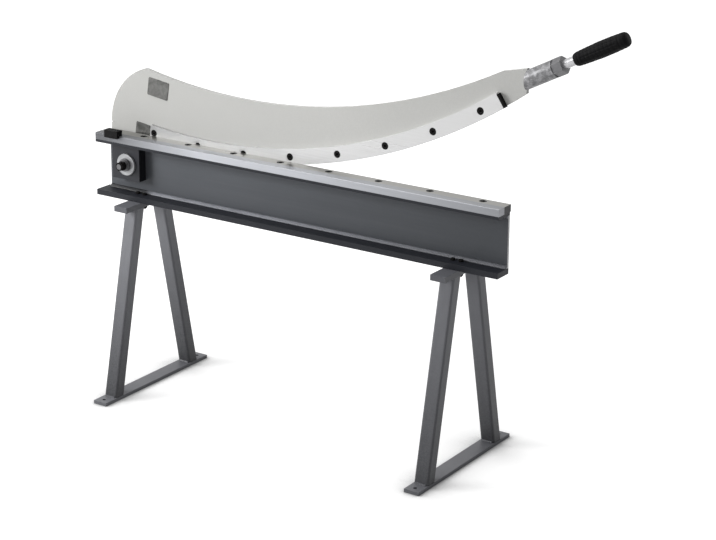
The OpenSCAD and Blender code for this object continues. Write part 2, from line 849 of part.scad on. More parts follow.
module upper_blade_screws() {
    color([0.08, 0.08, 0.09]) at_upper_screws(blade_clear)
        countersunk(upper_blade_t + arm_t + blade_washer_h + blade_nut_h + screw_end_out);
}

module upper_blade_washers() {
    color([0.7, 0.7, 0.72]) at_upper_screws(arm_back) mirror([0, 0, 1]) difference() {
        cylinder(r = blade_washer_r, h = blade_washer_h, $fn = fine);
        translate([0, 0, -over])
            cylinder(r = cs_shank_r + fix_c, h = blade_washer_h + 2 * over, $fn = fine);
    }
}

module upper_blade_nuts() {
    color([0.65, 0.65, 0.67]) at_upper_screws(arm_back + blade_washer_h) mirror([0, 0, 1])
        hex_nut(cs_shank_r, blade_nut_af, blade_nut_h);
}

// Bar across the blade's right end, held from behind
module at_bar_screws() {
    for (i = [0, 1]) {
        p = on_arc(cut_r - bar_l + bar_screw_in + i * bar_screw_pitch, bar_mid_a);
        translate([p[0], arm_back, p[1]]) rotate([-90, 0, 0]) children();
    }
}

module end_bar() {
    color([0.08, 0.08, 0.09]) difference() {
        plate_xz(blade_clear - bar_out, upper_blade_t + bar_out)
            translate([cut_cx, cut_cz]) rotate(bar_mid_a)
                translate([-bar_w / 2, -cut_r]) square([bar_w, bar_l]);
        at_bar_screws() translate([0, 0, -arm_t - bar_screw_depth - tap_tip])
            cylinder(r = bar_screw_r + fix_c, h = bar_screw_depth + tap_tip + over, $fn = fine);
    }
}

module end_bar_screws() {
    color([0.2, 0.2, 0.21]) at_bar_screws()
        cap_screw(bar_screw_r, bar_screw_head_r, bar_screw_head_h, arm_t + bar_screw_depth);
}

// Pivot pin with its flange behind the arm, and what it carries in front
spacer_t = arm_front - web_back - bush_flange_t - turn_gap;
spring_seat = block_front - bush_flange_t - ring_t - turn_gap;
spring_stack = spring_n * (spring_t + spring_rise);
washer_seat = spring_seat - spring_stack;
nut_seat = washer_seat - washer_t;

module pivot_pin() {
    shaft_l = arm_back - block_front + bush_flange_t + ring_t;
    thread_l = shaft_l + turn_gap + spring_stack + washer_t + pivot_nut_h + lock_nut_h + pin_end_out;
    color([0.6, 0.6, 0.62]) at_pivot(arm_back) {
        difference() {
            translate([0, 0, -pin_flange_t]) cylinder(r = pin_flange_r, h = pin_flange_t, $fn = fine);
            for (i = [0 : pin_screw_n - 1]) rotate(i * 360 / pin_screw_n)
                translate([pin_screw_ring_r, 0, -pin_flange_t - over])
                    cylinder(r = pin_screw_r + fix_c, h = pin_flange_t + 2 * over, $fn = fine);
        }
        cylinder(d = pin_d, h = shaft_l, $fn = fine);
        cylinder(d = thread_d, h = thread_l, $fn = fine);
    }
}

module at_pin_screws() {
    for (i = [0 : pin_screw_n - 1]) {
        a = i * 360 / pin_screw_n;
        translate([pivot_x + pin_screw_ring_r * cos(a), arm_back, pivot_z + pin_screw_ring_r * sin(a)])
            rotate([-90, 0, 0]) children();
    }
}

module pin_flange_screws() {
    color([0.12, 0.12, 0.13]) at_pin_screws() translate([0, 0, pin_flange_t])
        cap_screw(pin_screw_r, pin_screw_head_r, pin_screw_head_h, pin_flange_t + arm_t - over);
}

module spacer_ring() {
    color([0.6, 0.6, 0.62]) at_pivot(arm_front) difference() {
        cylinder(r = bush_flange_r, h = spacer_t, $fn = fine);
        translate([0, 0, -over]) cylinder(r = pin_d / 2 + fix_c, h = spacer_t + 2 * over, $fn = fine);
    }
}

// Disc springs as cones, stacked face to face in opposite directions
module disc_springs() {
    inner_r = thread_d / 2 + turn_gap;
    step = spring_t + spring_rise;
    color([0.55, 0.55, 0.57]) at_pivot(spring_seat)
        for (i = [0 : spring_n - 1]) translate([0, 0, i * step])
            rotate_extrude($fn = fine)
                polygon(i % 2 == 0
                    ? [[inner_r, spring_rise], [spring_r, 0], [spring_r, spring_t], [inner_r, step]]
                    : [[inner_r, 0], [spring_r, spring_rise], [spring_r, step], [inner_r, spring_t]]);
}

module spring_washer() {
    color([0.7, 0.7, 0.72]) at_pivot(washer_seat) difference() {
        cylinder(r = washer_r, h = washer_t, $fn = fine);
        translate([0, 0, -over]) cylinder(r = thread_d / 2 + fix_c, h = washer_t + 2 * over, $fn = fine);
    }
}

module pivot_nut() {
    color([0.2, 0.2, 0.21]) at_pivot(nut_seat) hex_nut(thread_d / 2, pivot_nut_af, pivot_nut_h);
}

module lock_nut() {
    color([0.2, 0.2, 0.21]) at_pivot(nut_seat - pivot_nut_h)
        rotate(15) hex_nut(thread_d / 2, pivot_nut_af, lock_nut_h);
}

// Blank label plates and their rivets
module at_label(dx, dz) {
    translate([pivot_x + dx, arm_front, pivot_z + dz]) rotate([0, -label_tilt, 0])
        rotate([90, 0, 0]) children();
}

module label_rivet_places(w, h) {
    for (sx = [-1, 1], sy = [-1, 1])
        translate([sx * (w / 2 - rivet_inset), sy * (h / 2 - rivet_inset), 0]) children();
}

module at_rivets() {
    at_label(upper_label_dx, upper_label_dz)
        label_rivet_places(upper_label_w, upper_label_h) children();
    at_label(lower_label_dx, lower_label_dz)
        label_rivet_places(lower_label_w, lower_label_h) children();
}

module label_plate(w, h) {
    difference() {
        linear_extrude(label_t) round_rect(w, h, label_corner_r);
        label_rivet_places(w, h) translate([0, 0, -over])
            cylinder(r = rivet_r + fix_c, h = label_t + 2 * over, $fn = fine);
    }
}

module upper_label_plate() {
    color([0.42, 0.42, 0.41]) at_label(upper_label_dx, upper_label_dz)
        label_plate(upper_label_w, upper_label_h);
}

module lower_label_plate() {
    color([0.42, 0.42, 0.41]) at_label(lower_label_dx, lower_label_dz)
        label_plate(lower_label_w, lower_label_h);
}

module label_rivets() {
    color([0.6, 0.6, 0.62]) at_rivets() {
        translate([0, 0, -rivet_depth]) cylinder(r = rivet_r, h = rivet_depth + label_t, $fn = fine);
        translate([0, 0, label_t])
            cylinder(r1 = rivet_head_r, r2 = rivet_r, h = rivet_head_h, $fn = fine);
    }
}

// Handle, along its own axis from the middle of the arm's right end
tip_low_z = cut_cz - sqrt(pow(arm_low_r, 2) - pow(arm_right - cut_cx, 2));
handle_z = (tip_start_z + tip_rise + tip_low_z) / 2 + handle_up;
module on_handle(s) {
    translate([arm_right, arm_mid, handle_z]) rotate([0, 90 - handle_a, 0])
        translate([0, 0, s]) children();
}

module handle_socket() {
    bore_r = rod_d / 2 + fix_c;
    color([0.62, 0.62, 0.63]) difference() {
        on_handle(-socket_d) cylinder(d = socket_d, h = socket_d + socket_l, $fn = fine);
        translate([arm_right - reach, arm_mid - socket_d, handle_z - reach / 2])
            cube([reach, 2 * socket_d, reach]);
        on_handle(socket_bore_end) cylinder(r = bore_r, h = socket_l + over, $fn = fine);
    }
}

module collar_nut() {
    color([0.3, 0.3, 0.31]) on_handle(socket_l) hex_nut(rod_d / 2, collar_af, collar_h);
}

grip_start = socket_l + collar_h + rod_bare;
rod_end = grip_start + grip_l * rod_tip_share;
module handle_rod() {
    start = socket_bore_end + rod_in_gap;
    color([0.75, 0.75, 0.76]) on_handle(start) cylinder(d = rod_d, h = rod_end - start, $fn = fine);
}

// Stations of the grip along its length, and its radius there, as shares
grip_run_shares = [0, 0.03, 0.12, 0.3, 0.5, 0.7, 0.88, 0.97, 1];
grip_r_shares = [0.76, 0.82, 0.9, 0.95, 1, 0.99, 0.94, 0.89, 0.78];
module hand_grip() {
    n = len(grip_run_shares);
    color([0.06, 0.06, 0.07]) on_handle(grip_start) difference() {
        rotate_extrude($fn = fine) polygon(concat([[0, 0]],
            [for (i = [0 : n - 1]) [grip_d / 2 * grip_r_shares[i], grip_l * grip_run_shares[i]]],
            [[0, grip_l]]));
        translate([0, 0, -over])
            cylinder(r = rod_d / 2 + fix_c, h = rod_end - grip_start + over + fix_c, $fn = fine);
    }
}

web_plate();
top_flange();
bottom_flange();
beam_welds();
table_rail();
rail_screws();
lower_blade();
lower_blade_screws();
bearing_block();
block_screws();
front_bush();
rear_bush();
thrust_ring();
side_stop();
side_stop_screws();
rest_block();
rest_block_screws();
left_top_bar();
left_front_leg();
left_rear_leg();
left_foot_bar();
left_stand_welds();
right_top_bar();
right_front_leg();
right_rear_leg();
right_foot_bar();
right_stand_welds();
beam_bolts();
beam_bolt_nuts();
arm_plate();
upper_blade();
upper_blade_screws();
upper_blade_washers();
upper_blade_nuts();
end_bar();
end_bar_screws();
pivot_pin();
pin_flange_screws();
spacer_ring();
disc_springs();
spring_washer();
pivot_nut();
lock_nut();
upper_label_plate();
lower_label_plate();
label_rivets();
handle_socket();
collar_nut();
handle_rod();
hand_grip();
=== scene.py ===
import math
from collections import namedtuple

import bmesh
import bpy
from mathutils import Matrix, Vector


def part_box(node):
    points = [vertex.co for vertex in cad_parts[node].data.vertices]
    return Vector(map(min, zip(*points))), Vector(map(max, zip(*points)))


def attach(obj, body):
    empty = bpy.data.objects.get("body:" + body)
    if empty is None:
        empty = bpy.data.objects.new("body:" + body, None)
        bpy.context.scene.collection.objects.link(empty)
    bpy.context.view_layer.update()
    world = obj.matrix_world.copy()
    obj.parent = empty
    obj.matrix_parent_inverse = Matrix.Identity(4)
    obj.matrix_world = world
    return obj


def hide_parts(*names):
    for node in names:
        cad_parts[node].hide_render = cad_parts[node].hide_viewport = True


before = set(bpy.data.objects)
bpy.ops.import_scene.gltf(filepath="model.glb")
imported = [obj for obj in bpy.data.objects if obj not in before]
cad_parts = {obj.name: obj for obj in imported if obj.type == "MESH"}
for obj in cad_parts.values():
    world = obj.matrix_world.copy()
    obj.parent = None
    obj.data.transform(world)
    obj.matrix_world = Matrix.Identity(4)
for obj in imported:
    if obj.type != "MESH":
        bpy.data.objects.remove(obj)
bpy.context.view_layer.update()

# Lengths that the CAD source names, in metres
WELD_LEG = 0.009
HANDLE_SLOPE = math.radians(27.2)
ROD_START = 0.015
ROD_RADIUS = 0.0125
GRIP_START = 0.151
GRIP_LENGTH = 0.155
GRIP_RADIUS = 0.022

# Axes by their number
X, Z = 0, 2

# Colours, with the values of the sRGB curve
SRGB_KNEE, SRGB_SLOPE, SRGB_LIFT, SRGB_GAMMA = 0.04045, 12.92, 0.055, 2.4


def tone(red, green, blue):
    """Linear colour from the 0 to 255 values that a screen shows."""
    def linear(value):
        share = value / 255
        if share <= SRGB_KNEE:
            return share / SRGB_SLOPE
        return ((share + SRGB_LIFT) / (1 + SRGB_LIFT)) ** SRGB_GAMMA
    return tuple(linear(v) for v in (red, green, blue)) + (1.0,)


def scaled(colour, share):
    """The colour made darker or lighter, with full alpha."""
    return tuple(min(1.0, c * share) for c in colour[:3]) + (1.0,)


# Shader graphs, with the colour sockets of the Mix node by their number
MIX_FACTOR, MIX_FIRST, MIX_SECOND, MIX_RESULT = 0, 6, 7, 2
BEVEL_SAMPLES = 6

# A stretch along X over which painted shade grows darker from start to end, by the amount
PaintedShadeRamp = namedtuple("PaintedShadeRamp", "start end amount")


def add_node(tree, kind, inputs=None, **settings):
    """Adds a shader node. An input is a value or the output of another node."""
    made = tree.nodes.new("ShaderNode" + kind)
    for key, value in settings.items():
        setattr(made, key, value)
    for key, value in (inputs or {}).items():
        if isinstance(value, bpy.types.NodeSocket):
            tree.links.new(value, made.inputs[key])
        else:
            made.inputs[key].default_value = value
    return made


class Graph:
    """A material with its principled shader, and short calls that add nodes to it."""

    def __init__(self, name, **sockets):
        self.material = bpy.data.materials.new(name)
        self.material.use_nodes = True
        self.tree = self.material.node_tree
        self.shader = self.tree.nodes["Principled BSDF"]
        for socket, value in sockets.items():
            self.shader.inputs[socket.replace("_", " ")].default_value = value

    def add(self, kind, inputs=None, **settings):
        return add_node(self.tree, kind, inputs, **settings)

    def coords(self, stretch=(1, 1, 1)):
        """Place on the part in metres, multiplied along each axis."""
        place = self.add("TexCoord").outputs["Object"]
        return self.add("Mapping", {"Vector": place, "Scale": stretch}).outputs["Vector"]

    def noise(self, scale=1.0, vector=None, detail=3.0, rough=0.55, bend=0.0):
        vector = vector or self.coords()
        made = self.add("TexNoise", {"Vector": vector, "Scale": scale, "Detail": detail,
                                     "Roughness": rough, "Distortion": bend})
        return made.outputs["Fac"]

    def spread(self, value, low=0.0, high=1.0, start=0.3, end=0.7):
        """Takes the value from between start and end to between low and high."""
        made = self.add("MapRange", {"Value": value, "From Min": start, "From Max": end,
                                     "To Min": low, "To Max": high})
        return made.outputs["Result"]

    def math(self, operation, first, second=0.0):
        return self.add("Math", {0: first, 1: second}, operation=operation).outputs[0]

    def mix(self, factor, first, second):
        made = self.add("Mix", {MIX_FACTOR: factor, MIX_FIRST: first, MIX_SECOND: second}, data_type="RGBA")
        return made.outputs[MIX_RESULT]

    def rounded(self, radius):
        return self.add("Bevel", {"Radius": radius}, samples=BEVEL_SAMPLES).outputs["Normal"]

    def edges(self, radius, start=0.985, end=0.80):
        """1 along sharp edges within the radius, and 0 on open faces."""
        flat = self.add("NewGeometry").outputs["Normal"]
        dot = self.add("VectorMath", {0: self.rounded(radius), 1: flat}, operation="DOT_PRODUCT")
        return self.spread(dot.outputs["Value"], start=start, end=end)

    def ends(self, start=0.80, end=0.97):
        """1 on faces square to the X axis of the part, and 0 on the others."""
        place = self.add("TexCoord").outputs["Normal"]
        across = self.add("SeparateXYZ", {"Vector": place}).outputs[X]
        return self.spread(self.math("ABSOLUTE", across), start=start, end=end)

    def along(self, axis, start, end):
        """0 before the start and 1 past the end, along one axis of the part."""
        place = self.add("TexCoord").outputs["Object"]
        return self.spread(self.add("SeparateXYZ", {"Vector": place}).outputs[axis], start=start, end=end)

    def shade_along_x(self, body, darker, shade_ramp):
        """Body that turns into the darker colour along X, as painted shade."""
        share = self.math("MULTIPLY", self.along(X, shade_ramp.start, shade_ramp.end), shade_ramp.amount)
        return self.mix(share, body, darker)

    def shaded(self, value, colour, dark, light, **span):
        """The colour between two shares of it, as the value says."""
        return self.mix(self.spread(value, **span), scaled(colour, dark), scaled(colour, light))

    def rubbed(self, body, colour, radius, amount):
        """Body with some of the colour along its sharp edges."""
        return self.mix(self.math("MULTIPLY", self.edges(radius), amount), body, colour)

    def roughen(self, value, rough, less, more, **span):
        """Roughness from rough - less to rough + more, as the value says."""
        self.drive("Roughness", self.spread(value, low=rough - less, high=rough + more, **span))

    def bump(self, height, distance, normal=None, strength=1.0):
        inputs = {"Height": height, "Distance": distance, "Strength": strength}
        if normal is not None:
            inputs["Normal"] = normal
        return self.add("Bump", inputs).outputs["Normal"]

    def drive(self, socket, output):
        self.tree.links.new(output, self.shader.inputs[socket])


# Paint: shades as shares of its colour, and lengths in metres
# The second and third shades are painted shade, darker towards the floor and along X
DRAWN_SHADE, LOW_SHADE, RAMP_SHADE, SPECK_SHADE = 0.78, 0.16, 0.5, 0.82
LOW_SHADE_HEIGHT = 0.62
PAINT_SHINE = 0.22
STREAK_STRETCH = (1, 1, 0.35)
DENT_DEPTH, DENT_STRENGTH = 0.0006, 0.25


def paint(name, colour, worn, rough=0.42, peel=0.00004, edge=0.0009, wear=0.35, patch=0.06,
          drawn=None, ends=None, low_shade_amount=0.0, shade_ramp=None):
    """Sprayed or powder coated metal: faint orange peel, soft patches and rubbed edges. The lines of
    the drawn metal show through, its end faces may take another colour, a painted highlight on the web
    and painted shade on the bearing block, and painted shade darkens it towards the floor and along X."""
    g = Graph(name, Metallic=0.0, Specular_IOR_Level=PAINT_SHINE)
    cloud = g.noise(scale=3.1, detail=5.0)
    speck = g.noise(scale=240.0, detail=2.0)
    body = g.shaded(cloud, colour, dark=1 - patch, light=1 + patch)
    if drawn:
        lines = g.noise(vector=g.coords(drawn), detail=4.0, rough=0.6)
        body = g.mix(g.spread(lines, high=0.5), body, scaled(colour, DRAWN_SHADE))
    # Painted shade: darker towards the floor
    if low_shade_amount:
        low_shade_share = g.spread(g.along(Z, 0.0, LOW_SHADE_HEIGHT), low=low_shade_amount, high=0.0, start=0.0, end=1.0)
        body = g.mix(low_shade_share, body, scaled(colour, LOW_SHADE))
    # Painted shade: darker from one place on X to another
    if shade_ramp:
        body = g.shade_along_x(body, scaled(colour, RAMP_SHADE), shade_ramp)
    # End faces: a painted highlight on the web, painted shade on the bearing block's sides
    if ends:
        body = g.mix(g.ends(), body, ends)
    body = g.mix(g.spread(speck, high=0.22), body, scaled(colour, SPECK_SHADE))
    chips = g.spread(g.noise(scale=38.0, detail=4.0), high=wear, start=0.42, end=0.66)
    g.drive("Base Color", g.rubbed(body, worn, edge, chips))
    streak = g.noise(scale=9.0, vector=g.coords(STREAK_STRETCH), detail=6.0)
    g.roughen(streak, rough, less=0.07, more=0.08)
    grain = g.noise(scale=620.0, detail=1.5)
    dent = g.noise(scale=14.0)
    normal = g.bump(dent, DENT_DEPTH, g.rounded(edge), DENT_STRENGTH)
    g.drive("Normal", g.bump(grain, peel, normal))
    return g.material


# Bare steel: lengths in metres, shades as shares of its colour, and its stretches along X
FINE_EDGE = 0.0004
SCRATCH_DEPTH = 0.00002
SMEAR_SHADE, GROUND_EDGE_SHADE, TURNED_EDGE_SHADE = 0.90, 1.2, 1.25
SMEAR_STRETCH = (0.5, 1, 1)
BROAD_GRAIN = 0.16
# A darker stretch next to the pivot
PIVOT_STRETCH_START, PIVOT_STRETCH_END = -0.64, -0.30
# Painted shade darkens bare steel over this stretch towards the handle
RAMP_SHADE_START, RAMP_SHADE_END = 0.0, 0.72
TURNED_GRAIN = (60, 1500, 60)


def ground_steel(name, colour, grain=(5, 900, 900), rough=0.34, metal=0.85, ends=None, pivot_stretch_share=1.0,
                 pivot_stretch_end=PIVOT_STRETCH_END, shade_along_x=1.0):
    """Surface ground steel: long fine scratches along the part, soft oil and handling marks, a darker
    stretch next to the pivot and painted shade that darkens it towards the handle."""
    g = Graph(name, Metallic=metal)
    scratch = g.noise(vector=g.coords(grain), detail=4.0, rough=0.7)
    broad = g.noise(vector=g.coords(tuple(s * BROAD_GRAIN for s in grain)), detail=2.0)
    smear = g.noise(scale=5.5, vector=g.coords(SMEAR_STRETCH), detail=5.0)
    body = g.shaded(scratch, colour, dark=0.88, light=1.07)
    body = g.mix(g.spread(smear, high=0.45, start=0.45, end=0.75), body, scaled(colour, SMEAR_SHADE))
    # A darker stretch next to the pivot
    body = g.mix(g.along(X, PIVOT_STRETCH_START, pivot_stretch_end), scaled(colour, pivot_stretch_share), body)
    # Painted shade towards the handle
    body = g.mix(g.along(X, RAMP_SHADE_START, RAMP_SHADE_END), body, scaled(colour, shade_along_x))
    if ends:
        body = g.mix(g.ends(), body, ends)
    g.drive("Base Color", g.rubbed(body, scaled(colour, GROUND_EDGE_SHADE), FINE_EDGE, amount=0.6))
    even = g.spread(broad, low=rough - 0.07, high=rough + 0.07)
    g.drive("Roughness", g.math("ADD", even, g.spread(smear, low=-0.03, high=0.08)))
    g.drive("Normal", g.bump(scratch, SCRATCH_DEPTH, g.rounded(FINE_EDGE)))
    return g.material


def turned_steel(name, colour, rough, metal):
    """Lathe turned steel: rings round the Y axis of the pivot parts."""
    g = Graph(name, Metallic=metal)
    rings = g.noise(vector=g.coords(TURNED_GRAIN), detail=2.0)
    cloud = g.noise(scale=46.0, detail=4.0)
    body = g.shaded(cloud, colour, dark=0.86, light=1.08)
    g.drive("Base Color", g.rubbed(body, scaled(colour, TURNED_EDGE_SHADE), FINE_EDGE, amount=0.5))
    g.roughen(cloud, rough, less=0.06, more=0.1)
    g.drive("Normal", g.bump(rings, SCRATCH_DEPTH, g.rounded(FINE_EDGE)))
    return g.material


# Blackened steel
BROWN_SHARES = (1.6, 1.3, 1.1)
BLACK_EDGE, BLACK_GRAIN = 0.0005, 0.00003
BLACK_METAL, BLACK_SHINE = 0.1, 0.1
BARE_STEEL = tone(120, 118, 116)


def blackened(name, colour, rough):
    """Oil blackened steel with thin bright edges and a faint brown cloud."""
    g = Graph(name, Metallic=BLACK_METAL, Specular_IOR_Level=BLACK_SHINE)
    cloud = g.noise(scale=60.0, detail=5.0)
    brown = tuple(c * k for c, k in zip(colour[:3], BROWN_SHARES)) + (1.0,)
    body = g.mix(g.spread(cloud, high=0.7), colour, brown)
    chips = g.spread(g.noise(scale=150.0), low=0.05, high=0.5)
    g.drive("Base Color", g.rubbed(body, BARE_STEEL, BLACK_EDGE, chips))
    g.roughen(cloud, rough, less=0.08, more=0.12)
    g.drive("Normal", g.bump(g.noise(scale=800.0, detail=2.0), BLACK_GRAIN, g.rounded(BLACK_EDGE)))
    return g.material


# Zinc coat
CRYSTALS_PER_METRE = 130.0
ZINC_DARK, ZINC_LIGHT, BLOT_SHADE = 0.62, 1.25, 0.5
ZINC_DEPTH, ZINC_EDGE = 0.00012, 0.0006


def galvanised(name, colour, rough, metal):
    """Zinc coat with crystal patches of uneven brightness, as on the handle's socket."""
    g = Graph(name, Metallic=metal)
    cells = g.add("TexVoronoi", {"Vector": g.coords(), "Scale": CRYSTALS_PER_METRE, "Randomness": 1.0})
    shade = g.add("SeparateColor", {"Color": cells.outputs["Color"]}).outputs[0]
    blot = g.noise(scale=95.0, detail=4.0, bend=0.6)
    body = g.mix(shade, scaled(colour, ZINC_DARK), scaled(colour, ZINC_LIGHT))
    body = g.mix(g.spread(blot, high=0.75, start=0.42, end=0.6), body, scaled(colour, BLOT_SHADE))
    g.drive("Base Color", body)
    g.roughen(shade, rough, less=0.08, more=0.14, start=0.0, end=1.0)
    g.drive("Normal", g.bump(blot, ZINC_DEPTH, g.rounded(ZINC_EDGE)))
    return g.material


# Weld beads
WELD_ROUGH, WELD_METAL = 0.45, 0.1
# Painted shade in the bearing block's corner, and painted shade along X towards the handle
CORNER_SHADE, CORNER_SHADE_FADE = 0.10, 0.03
WELD_SHADE_RAMP = PaintedShadeRamp(start=-0.1, end=0.75, amount=0.9)
WELD_RAMP_SHADE = 0.45
WELD_RIPPLES = {"Scale": 60.0, "Distortion": 3.0, "Detail": 2.0}
WELD_RIPPLE_DEPTH, SPATTER_DEPTH, WELD_EDGE = 0.0003, 0.00008, 0.0012


def weld(name, colour, shaded_until=None):
    """Painted weld bead. With a place on X given, the stretch before it is painted shade, as in the block's
    corner, and painted shade darkens the bead towards the handle's end."""
    g = Graph(name, Metallic=WELD_METAL)
    spatter = g.noise(scale=420.0, detail=4.0)
    cloud = g.noise(scale=30.0)
    body = g.shaded(cloud, colour, dark=0.85, light=1.12)
    if shaded_until is not None:
        # Painted shade in the block's corner, then painted shade along X
        body = g.mix(g.along(X, shaded_until, shaded_until + CORNER_SHADE_FADE), scaled(colour, CORNER_SHADE), body)
        body = g.shade_along_x(body, scaled(colour, WELD_RAMP_SHADE), WELD_SHADE_RAMP)
    g.drive("Base Color", body)
    g.roughen(spatter, WELD_ROUGH, less=0.08, more=0.1)
    ripples = g.add("TexWave", {"Vector": g.coords(), **WELD_RIPPLES},
                    wave_type="BANDS", bands_direction="X").outputs["Fac"]
    normal = g.bump(ripples, WELD_RIPPLE_DEPTH, g.rounded(WELD_EDGE))
    g.drive("Normal", g.bump(spatter, SPATTER_DEPTH, normal))
    return g.material


# Bronze, plastic and label plates
BRONZE_GRAIN, BRONZE_METAL = (40, 1200, 40), 0.9
PLASTIC_SHINE, PLASTIC_GRAIN, DUST_SHADE = 0.08, 0.00006, 2.2
PLATE_GRAIN = (1400, 1400, 60)
PLATE_EDGE, PLATE_DEPTH, PLATE_METAL, RIM_SHADE = 0.0006, 0.00001, 0.35, 2.0


def bronze(name, colour):
    """Turned bearing bronze with soft darker clouds."""
    g = Graph(name, Metallic=BRONZE_METAL)
    cloud = g.noise(scale=80.0, detail=4.0)
    g.drive("Base Color", g.shaded(cloud, colour, dark=0.7, light=1.0))
    g.drive("Roughness", g.spread(cloud, low=0.26, high=0.44))
    g.drive("Normal", g.bump(g.noise(vector=g.coords(BRONZE_GRAIN)), SCRATCH_DEPTH, g.rounded(FINE_EDGE)))
    return g.material


def moulded(name, colour, rough):
    """Soft plastic with a fine leathery skin and rougher patches that dust greys."""
    g = Graph(name, Metallic=0.0, Specular_IOR_Level=PLASTIC_SHINE)
    skin = g.noise(scale=900.0, detail=2.0)
    dust = g.noise(scale=26.0, detail=5.0)
    g.drive("Base Color", g.mix(g.spread(dust, high=0.6), colour, scaled(colour, DUST_SHADE)))
    g.roughen(dust, rough, less=0.1, more=0.1)
    g.drive("Normal", g.bump(skin, PLASTIC_GRAIN))
    return g.material


def etched_plate(name, colour):
    """Blank anodised plate with uneven oxide and a rubbed rim."""
    g = Graph(name, Metallic=PLATE_METAL)
    blot = g.noise(scale=55.0, detail=5.0, bend=0.8)
    fine = g.noise(vector=g.coords(PLATE_GRAIN), detail=2.0)
    body = g.shaded(blot, colour, dark=0.72, light=1.3, start=0.36, end=0.64)
    g.drive("Base Color", g.rubbed(body, scaled(colour, RIM_SHADE), PLATE_EDGE, amount=0.6))
    g.drive("Roughness", g.spread(blot, low=0.30, high=0.42))
    g.drive("Normal", g.bump(fine, PLATE_DEPTH, g.rounded(FINE_EDGE)))
    return g.material


# Finishes of the pieces
BEAM_LINES = (1.5, 60, 60)
TUBE_LINES = (90, 90, 2.5)
STAND_WORN = tone(184, 185, 190)
BLOCK_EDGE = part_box("bearing_block")[1].x

# Arm: painted shade darkens it towards the pivot
arm_grey = paint("arm_paint", tone(207, 207, 204), tone(232, 232, 230), rough=0.40, peel=0.00003,
                 edge=0.0010, wear=0.5, patch=0.02, shade_ramp=PaintedShadeRamp(start=0.1, end=-0.65, amount=0.55))
# Web: a painted highlight on its cut ends, and painted shade towards the handle's end
web_grey = paint("web_paint", tone(91, 94, 99), tone(150, 151, 156), rough=0.40, drawn=BEAM_LINES,
                 ends=tone(240, 241, 241), shade_ramp=PaintedShadeRamp(start=-0.05, end=0.75, amount=0.45))
flange_grey = paint("flange_paint", tone(33, 35, 41), tone(70, 72, 78), rough=0.5, drawn=BEAM_LINES)
# Stands: painted shade, darker towards the floor and towards the right stand
stand_grey = paint("stand_paint", tone(138, 139, 144), STAND_WORN, drawn=TUBE_LINES, low_shade_amount=1.0,
                   shade_ramp=PaintedShadeRamp(start=-0.5, end=0.5, amount=0.15))
bar_grey = paint("bar_paint", tone(100, 101, 106), STAND_WORN, drawn=TUBE_LINES)
# Foot bars: painted shade, darker towards the floor and towards the right stand
foot_grey = paint("foot_paint", tone(128, 129, 134), STAND_WORN, drawn=TUBE_LINES, low_shade_amount=0.35,
                  shade_ramp=PaintedShadeRamp(start=-0.5, end=0.5, amount=0.2))
# Block: painted shade on its side faces
block_grey = paint("block_paint", tone(44, 45, 50), tone(120, 121, 126), rough=0.45,
                   ends=tone(24, 25, 28))
# Beam welds: painted shade up to the block's edge and towards the handle's end
weld_grey = weld("weld_paint", tone(130, 132, 139), shaded_until=BLOCK_EDGE)
# Stand welds: painted shade, dark like the shade at the legs' feet
shaded_stand_weld = weld("leg_weld_shade_paint", tone(62, 63, 68))
# Rail and lower blade: painted shade towards the handle
rail_steel = ground_steel("rail_steel", tone(174, 176, 181), rough=0.38, metal=0.7, pivot_stretch_share=0.25, shade_along_x=0.55)
low_blade_steel = ground_steel("low_blade_steel", tone(158, 157, 153), ends=tone(36, 36, 38),
                               pivot_stretch_share=0.75, shade_along_x=0.85)
up_blade_steel = ground_steel("up_blade_steel", tone(210, 210, 210), grain=(7, 700, 700), rough=0.33,
                              metal=0.4, pivot_stretch_share=0.45, pivot_stretch_end=0.0)
bright = turned_steel("bright_steel", tone(190, 190, 192), rough=0.30, metal=0.8)
turned = turned_steel("turned_steel", tone(104, 104, 106), rough=0.4, metal=0.7)
ring_steel = turned_steel("ring_steel", tone(165, 166, 168), rough=0.34, metal=0.3)
dark_collar = turned_steel("collar_steel", tone(112, 112, 114), rough=0.4, metal=0.6)
black = blackened("black_steel", tone(10, 10, 11), rough=0.6)
screw_black = blackened("black_screws", tone(11, 11, 12), rough=0.5)
zinc = galvanised("socket_zinc", tone(142, 142, 144), rough=0.42, metal=0.7)
bush_bronze = bronze("bush_bronze", tone(196, 152, 88))
label_metal = etched_plate("label_metal", tone(90, 90, 88))
grip_black = moulded("grip_plastic", tone(9, 9, 10), rough=0.6)

NODE_LOOKS = {
    "web_plate": web_grey, "top_flange": flange_grey, "bottom_flange": flange_grey,
    "beam_welds": weld_grey, "bearing_block": block_grey, "table_rail": rail_steel,
    "lower_blade": low_blade_steel, "front_bush": bush_bronze, "rear_bush": bush_bronze,
    "thrust_ring": ring_steel, "side_stop": black, "rest_block": black,
    "left_top_bar": bar_grey, "right_top_bar": bar_grey,
    "left_foot_bar": foot_grey, "right_foot_bar": foot_grey,
    "left_stand_welds": shaded_stand_weld, "right_stand_welds": shaded_stand_weld,
    "arm_plate": arm_grey, "upper_blade": up_blade_steel, "end_bar": black,
    "upper_blade_washers": bright, "upper_blade_nuts": bright,
    "pivot_pin": turned, "spacer_ring": turned, "disc_springs": turned, "spring_washer": turned,
    "pivot_nut": black, "lock_nut": black,
    "upper_label_plate": label_metal, "lower_label_plate": label_metal, "label_rivets": label_metal,
    "handle_socket": zinc, "collar_nut": dark_collar, "handle_rod": bright, "hand_grip": grip_black,
}


def look_of(name):
    """Finish of a CAD node. Legs have the stands' paint, and what is left are screws, bolts and nuts."""
    if name in NODE_LOOKS:
        return NODE_LOOKS[name]
    return stand_grey if name.startswith(("left_", "right_")) else screw_black


def dress_cad_nodes():
    for name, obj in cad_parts.items():
        look = look_of(name)
        if not obj.material_slots:
            obj.data.materials.append(look)
        for slot in obj.material_slots:
            slot.material = look


